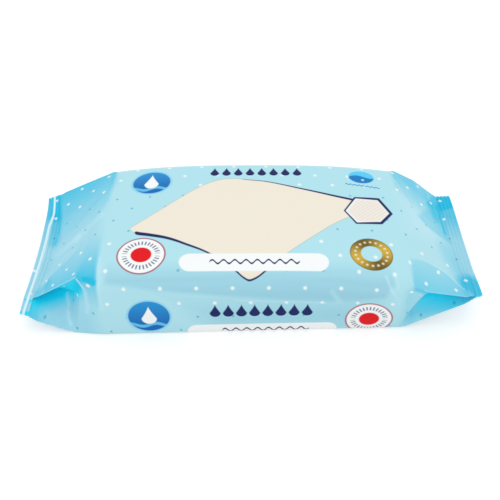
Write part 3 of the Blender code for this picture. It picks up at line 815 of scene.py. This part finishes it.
# Painted highlights: thin light lines along the creases and fold edges, where light catches them
PAINTED_HIGHLIGHT_STREAKS = (  # of light blue, given as the fields are
    (-96.3, -48.0, -92.8, -54.5, 0.3, 0.9, 0.75), (-117.9, -71.4, -111.6, -75.9, 0.3, 1.0, 0.45),
    (-110.3, -77.9, -104.3, -82.8, 0.3, 1.2, 0.50), (-92.3, -56.0, -93.5, -72.7, 0.4, 1.6, 0.45),
    (-83.4, -32, -83.4, -66, 0.3, 1.2, 0.55), (-97, -45.8, -127, -45.8, 0.15, 0.7, 0.45),
    (-88, 4, -106, -5, 0.8, 4.0, 0.40), (-106, -5, -125, -10, 0.8, 4.0, 0.40),
    (75.5, -43, 78.6, -51, 0.3, 1.2, 0.50), (78.6, -51, 83.5, -58, 0.3, 1.2, 0.50),
    (80.5, -42, 83.0, -50, 0.2, 1.0, 0.45), (-8, -60.2, 42, -62.2, 0.2, 1.2, 0.45),
    (45.5, -54, 50, -61, 0.6, 1.6, 0.35), (99, -25.8, 115.5, -29.0, 0.2, 0.9, 0.45),
    (115.5, -29.0, 127, -38.2, 0.2, 0.9, 0.50), (99, -46.1, 126, -46.1, 0.15, 0.8, 0.45),
)


def lay_bands(under, tone, bands):
    for u0, v0, u1, v1, half_width, softness, strength in bands:
        ink_and_painted_light = band((u0, v0), (u1, v1), half_width, softness) * strength
        under = paint(under, tone, ink_and_painted_light)
    return under


ends = calc("MAXIMUM", step_down(U + 88, 6.0), step_down(121 - U, 8.0))
ground = paint(PALE, END_PALE, ends)
# the facets, with their painted shade and painted highlight
for tone, corners, softness, strength, fade in FACET_INK_SHADE_AND_HIGHLIGHT:
    ink_and_painted_light = step_down(polygon(corners), softness) * strength
    ground = paint(ground, tone, ink_and_painted_light * way_along(*fade) if fade else ink_and_painted_light)
# deeper blue along the folds, partly print and partly painted shade
ground = lay_bands(ground, DEEP, DEEP_INK_AND_SHADE_FIELDS)
# the pockets: print's deep cyan with painted light
past_block = step_down(POCKET_END - abs(U), 0.8) * step_down(V - FRONT_FOLD, 0.6)
for tone, corners, softness, strength in POCKET_INK_AND_LIGHT:
    ground = paint(ground, tone, step_down(polygon(corners), softness) * past_block * strength)
# painted highlights along the creases and fold edges
ground = lay_bands(ground, PAINTED_HIGHLIGHT, PAINTED_HIGHLIGHT_STREAKS)

# %% [markdown]
# ## The dots
#
# Small dots lie on a staggered lattice, 20 mm from one to the next in a row. The rows come in
# turns of five white ones and four teal ones, and lie a little closer towards the back fold. A
# lattice needs no list of places: the position is folded back into one cell by a modulo, once
# for each of the two sets of rows.

# %% Dots
DOT_PITCH = 20.0  # in a row
ROW_PITCH = 19.35
row = (V + 1.8) / ROW_PITCH
row = row + row * row * 0.0117


def lattice(shift):
    """Distance from the nearest dot's centre, for the rows on or between the whole numbers."""
    du = (U - (0.3 + DOT_PITCH * (shift - 0.5))) % DOT_PITCH - DOT_PITCH / 2
    dv = ((row - shift + 0.5) % 1.0 - 0.5) * ROW_PITCH
    return length(du, dv)


near_dot = calc("MINIMUM", lattice(0.0), lattice(0.5))
in_turn = (row + 3.25) % 4.5
off_strip = strip(-39.4, 43.7, -36.2, 5.8)  # the white strip on the top, clear of white dots
white_rows = step_down(in_turn - 2.5, 0.05) * step_down(6.3 - off_strip)
dotted = paint(ground, WHITE, step_down(near_dot - 1.05, 0.45) * white_rows * 0.9)
dotted = paint(dotted, colour(70, 165, 180),
               step_down(near_dot - 0.7, 0.4) * (1 - white_rows) * 0.75)


# %% [markdown]
# ## Fields, badges and pills
#
# The large cream field is a diamond with curved sides. Its upper and its lower side are each
# a Float Curve over the length of the pack, so a point is inside when it lies between them.
# The navy lines follow the same curves.

# %% Cream field
CURVE_LENGTH, CURVE_HEIGHT = 160, 120  # what a Float Curve's square stands for, in millimetres


def edge_curve(points):
    """The v of a curved line over the place along the pack."""
    node = tree.nodes.new("ShaderNodeFloatCurve")
    feed(node, {1: calc("MULTIPLY_ADD", U, 1 / CURVE_LENGTH, 0.5, clamp=True).socket})
    curve = node.mapping.curves[0]
    for k, (u, v) in enumerate(points):
        spot = (u / CURVE_LENGTH + 0.5, v / CURVE_HEIGHT + 0.5)
        if k < 2:
            curve.points[k].location = spot
        else:
            curve.points.new(*spot)
    node.mapping.update()
    return Ink(node.outputs[0]) * CURVE_HEIGHT - CURVE_HEIGHT / 2


upper_side = edge_curve([(-68.3, -8.6), (-55.5, 2.6), (-43.2, 13.7), (-30.6, 24.6), (-22.1, 29.9),
                         (-15.5, 32.2), (-9.2, 32.6), (0.3, 31.2), (9, 29.9), (17.7, 27.4),
                         (29.1, 23.6), (40.5, 20.0), (51.8, 16.5), (60.7, 14.1), (72, 11.3)])
lower_side = edge_curve([(-69.5, -9), (-67.5, -12.2), (-65, -13.6), (-57.9, -15.3), (-46.8, -18.3),
                         (-35.7, -23.4), (-24.7, -29), (-14.5, -36.3), (-7.3, -42.4),
                         (-2.8, -46.2), (-0.6, -47.2), (1.8, -46.6), (8.3, -42.1),
                         (21.4, -29.8), (38.3, -15.5), (49.9, -6.3), (56.4, -2.1), (66, 3)])
on_field = within(V, lower_side, upper_side, 0.35) * within(U, -68.3, 70.0, 0.3)
printed = paint(dotted, CREAM, on_field)
edge_line = step_down(calc("MINIMUM", abs(V - upper_side), abs(V - lower_side)) - 0.25, 0.35)
printed = paint(printed, colour(176, 166, 150), edge_line * within(U, -68.5, 60.0, 0.3) * 0.6)


# %% Navy lines
def navy_line(side, start, end, half_start, half_end):
    """A line along one side of the field that changes in width from its start to its end."""
    share = calc("MULTIPLY_ADD", U, 1 / (end - start), -start / (end - start), clamp=True)
    half = share * (half_end - half_start) + half_start
    beyond = calc("MAXIMUM", calc("MAXIMUM", start - U, U - end), 0.0)
    return step_down(length(beyond, V - side) - half, 0.3)


lines = navy_line(lower_side, -64.6, -21.0, 1.35, 0.6)
lines = calc("MAXIMUM", lines, navy_line(upper_side, -4.0, 61.0, 0.15, 0.95))
lines = calc("MAXIMUM", lines, navy_line(lower_side, -8.2, 9.0, 0.6, 0.6))
printed = paint(printed, NAVY, lines)

# %% Lozenge at the field's right-hand tip
LOZENGE = ((55.8, 4.0), (62.9, 15.7), (77.1, 15.5), (83.4, 3.6), (76.6, -4.9), (61.9, -6.1))
off_lozenge = polygon(LOZENGE)
hatch = calc("SINE", (U * 0.85 - V) * 2.6) * 0.5 + 0.5
hatched = paint(colour(240, 235, 226), colour(222, 212, 200), hatch * 0.55)
printed = paint(printed, WHITE, step_down(off_lozenge))
printed = paint(printed, hatched, step_down(off_lozenge + 1.6, 0.7))
right_heavy = within(U, 66.0, 90.0, 8.0) * 0.45 + 0.5
printed = paint(printed, NAVY, step_down(abs(off_lozenge) - right_heavy))


# %% [markdown]
# The badges, the rounded strips and the rows of drops are plain marks of this kind of pack,
# without any lettering: a drop of water, a ripple, a ring of short strokes.

# %% Shapes for the marks
def ellipse(centre, radii):
    """Distance outside an ellipse, right at its edge and roughly so elsewhere."""
    off = length((U - centre[0]) / radii[0], (V - centre[1]) / radii[1])
    return (off - 1) * min(radii)


def drop(du, dv, radius, height):
    """Ink of a drop of water: a half circle below its centre, drawn up to a tip above it."""
    rise = calc("MULTIPLY_ADD", dv, 1 / height, 0.0, clamp=True)
    sink = calc("MULTIPLY_ADD", dv, -1 / radius, 0.0, clamp=True)
    half = calc("POWER", 1 - rise, 1.25) * calc("SQRT", 1 - sink * sink) * radius
    return step_down(abs(du) - half) * within(dv, -radius, height, 0.2)


def drops(left, right, middle, count, radius, height):
    """Ink of a row of drops, folded into one cell by a modulo."""
    pitch = (right - left) / count
    du = (U - left) % pitch - pitch / 2
    return drop(du, V - middle, radius, height) * within(U, left, right)


def ripple(left, right, middle, slope, wave, swing, half):
    """Ink of a wavy line."""
    line = calc("SINE", (U - left) * (math.tau / wave)) * swing + (U - left) * slope + middle
    return step_down(abs(V - line) - half, 0.25) * within(U, left, right, 0.4)


# %% Rounded strips with a ripple on each, and two rows of drops
for tone, ink_and_painted_light in ((WHITE, step_down(off_strip)),
                  (NAVY, ripple(-22.5, 27.5, -36.2, 0.0, 6.25, 1.25, 0.6)),
                  (WHITE, step_down(strip(-36.0, 50.0, -84.8, 5.6))),
                  (NAVY, ripple(-16.0, 33.8, -84.0, 0.0, 6.25, 1.25, 0.6)),
                  (NAVY, drops(-25.0, 33.0, 38.3, 8, 2.7, 5.4)),
                  (NAVY, drops(-23.5, 36.0, -69.8, 8, 3.1, 6.4))):
    printed = paint(printed, tone, ink_and_painted_light)


# %% Round badges with a white drop
def badge(under, centre, radii):
    off = ellipse(centre, radii)
    du, dv = U - centre[0], V - centre[1]
    shade = calc("MULTIPLY_ADD", dv, 0.5 / radii[1], 0.5, clamp=True)
    face = paint(colour(12, 82, 165), colour(40, 150, 215), shade)
    swell = calc("SINE", du * 0.42) * 1.1 - radii[1] * 0.42
    face = paint(face, colour(96, 190, 232), step_down(dv - swell))
    face = paint(face, colour(16, 104, 184), step_down(dv - swell + 2.4))
    face = paint(face, WHITE, drop(du, dv + 1.4, 4.3, 9.0))
    under = paint(under, colour(150, 214, 238), step_down(off))
    return paint(under, face, step_down(off + 1.2))


printed = badge(printed, (-59.8, 31.0), (12.8, 11.6))
printed = badge(printed, (-57.2, -71.8), (13.0, 12.6))


# %% Roundels: a white disc with a red middle in a ring of navy strokes
def around(centre, stretch):
    """Distance from a centre, and the angle about it in turns."""
    du, dv = U - centre[0], (V - centre[1]) * stretch
    return length(du, dv), calc("ARCTAN2", dv, du) / math.tau + 0.5


def beside(off, angle, count):
    """Distance to the side of the nearest of so many spokes."""
    return abs(angle * count % 1.0 - 0.5) * off * (math.tau / count)


def roundel(under, centre, stretch):
    off, angle = around(centre, stretch)
    under = paint(under, colour(168, 96, 108), step_down(off - 13.8))
    under = paint(under, WHITE, step_down(off - 12.9))
    gap = step_down(0.035 - abs((angle * 2 + 0.5) % 1.0 - 0.5), 0.004)
    strokes = step_down(beside(off, angle, 30) - 0.42, 0.25) * within(off, 8.0, 10.8, 0.3) * gap
    under = paint(under, colour(44, 56, 112), strokes * 0.85)
    return paint(under, colour(226, 12, 24), step_down(off - 5.85))


printed = roundel(printed, (-60.8, -30.7), 1.07)
printed = roundel(printed, (68.0, -76.2), 0.98)

# %% Gold ring
RING = (68.2, -29.1)
off, angle = around(RING, 1.1)
gleam = calc("SINE", (angle * 2 + 0.12) * math.tau) * 0.5 + 0.5
gold = paint(colour(112, 92, 34), colour(206, 172, 62), gleam)
gold = paint(gold, colour(84, 66, 30), step_down(abs(off - 12.0) - 0.2, 0.5) * 0.8)
beads = step_down(length(beside(off, angle, 18), off - 9.2) - 0.8)
gold = paint(gold, colour(236, 228, 204), beads * 0.8)
printed = paint(printed, gold, within(off, 6.0, 12.3))

# %% Blue oval
OVAL = (68.9, 36.2)
off_oval = ellipse(OVAL, (7.9, 6.3))
surface = calc("SINE", (U - OVAL[0]) * 0.36 + 2.6) * 1.3 + (OVAL[1] + 0.3)
water = paint(colour(88, 204, 246), colour(0, 126, 196), step_down(V - surface))
water = paint(water, WHITE, step_down(length(U - 69.6, V - 33.2) - 0.9) * 0.7)
printed = paint(printed, water, step_down(off_oval))
printed = paint(printed, colour(20, 150, 205), ripple(58.4, 79.2, 28.6, -0.125, 2.6, 0.4, 0.45))

# %% [markdown]
# ## The bare line and the film's surface
#
# Beside the left-hand seal's cut edge the print stops for a narrow line. The film itself is
# thin, glossy plastic: its fine waviness is in the bump, the larger wrinkles are in the mesh.

# %% Bare line near the left-hand cut edge
line_at = step_down(V - 25.0, 6.0) * -1.5 + 4.6 + calc("MINIMUM", V, 0.0) * 0.014
bare = step_down(abs(FROM_CUT - line_at) - 0.75, 0.35) * step_down(U, 5.0)
printed = paint(printed, colour(226, 246, 252), bare * 0.95)

# %% Finish
stretched = feed(tree.nodes.new("ShaderNodeMapping"),
                 {"Vector": on_film.outputs["UV"], "Scale": (90, 160, 1)})
waves = feed(tree.nodes.new("ShaderNodeTexNoise"),
             {"Vector": stretched.outputs["Vector"], "Scale": 1.0, "Detail": 2.0})
bump = feed(tree.nodes.new("ShaderNodeBump"),
            {"Height": waves.outputs["Fac"], "Strength": 0.12, "Distance": 0.001})
feed(shader, {"Base Color": printed, "Roughness": 0.27, "Specular IOR Level": 0.12,
              "Normal": bump.outputs["Normal"]})
print("nodes in the film's material", len(tree.nodes))

# %% [markdown]
# ## Floor, light and camera
#
# The pack lies on a plain white floor under soft studio light. Large lamps and a bright world
# come close to even light, in which a colour renders about as it is written. The white of the
# background is made with Light Path: only the camera and the gloss see it.

# %% Floor
FLOOR_HALF = 12.0
FLOOR_Z = -0.0002  # just under the pack, so that the two never share a plane

floor_mesh = bpy.data.meshes.new("floor")
floor_mesh.from_pydata([(FLOOR_HALF * x, FLOOR_HALF * y, FLOOR_Z)
                        for x, y in ((-1, -1), (1, -1), (1, 1), (-1, 1))], [], [(0, 1, 2, 3)])
floor = add_object("floor", floor_mesh)
white = bpy.data.materials.new("floor_white")
white.use_nodes = True


def seen_strength(tree, shown, otherwise):
    """One strength for rays of the camera, gloss and glass, and another for the rest."""
    path = tree.nodes.new("ShaderNodeLightPath").outputs
    seen = math_node(tree, "MAXIMUM", path["Is Camera Ray"], path["Is Glossy Ray"])
    seen = math_node(tree, "MAXIMUM", seen, path["Is Transmission Ray"])
    return math_node(tree, "MULTIPLY_ADD", seen, shown - otherwise, otherwise)


feed(white.node_tree.nodes["Principled BSDF"],
     {"Base Color": (0.8, 0.8, 0.8, 1), "Roughness": 0.9, "Specular IOR Level": 0.0,
      "Emission Color": (1, 1, 1, 1),
      "Emission Strength": seen_strength(white.node_tree, shown=0.34, otherwise=0.0)})
floor.data.materials.append(white)

# %% Camera
SENSOR = 36
FOCAL_LENGTH = 799 / 500  # over the width of the picture

camera_data = bpy.data.cameras.new("camera")
camera_data.sensor_width = SENSOR
camera_data.lens = FOCAL_LENGTH * SENSOR
camera = add_object("camera", camera_data)
elevation, azimuth, distance = math.radians(45), math.radians(-0.3), 0.446
aim = Vector((0, -0.02855, 0.0448))
back = Vector((math.sin(azimuth) * math.cos(elevation), -math.cos(azimuth) * math.cos(elevation),
               math.sin(elevation)))
camera.location = aim + back * distance
camera.rotation_euler = back.to_track_quat("Z", "Y").to_euler()
scene = bpy.context.scene
scene.camera = camera


# %% Lamps and world
LIT_POINT = Vector((0, 0, 0.02))


def lamp(name, place, size, power):
    data = bpy.data.lights.new(name, "AREA")
    data.size = size
    data.energy = power
    item = add_object(name, data)
    item.location = place
    item.rotation_euler = (item.location - LIT_POINT).to_track_quat("Z", "Y").to_euler()


lamp("overhead", (0.0, 0.35, 1.2), 0.9, 1.4)
lamp("front", (0.0, -1.4, 0.5), 1.0, 0.8)
lamp("right", (1.0, -1.0, 0.4), 0.6, 0.8)
lamp("left", (-1.0, -1.0, 0.4), 0.6, 0.8)

world = scene.world or bpy.data.worlds.new("world")
scene.world = world
world.use_nodes = True
feed(world.node_tree.nodes["Background"],
     {"Color": (1, 1, 1, 1),
      "Strength": seen_strength(world.node_tree, shown=1.0, otherwise=0.93)})
scene.view_settings.view_transform = "Standard"

# %% Hand over
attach(pack, "root")
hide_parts("film_pack")
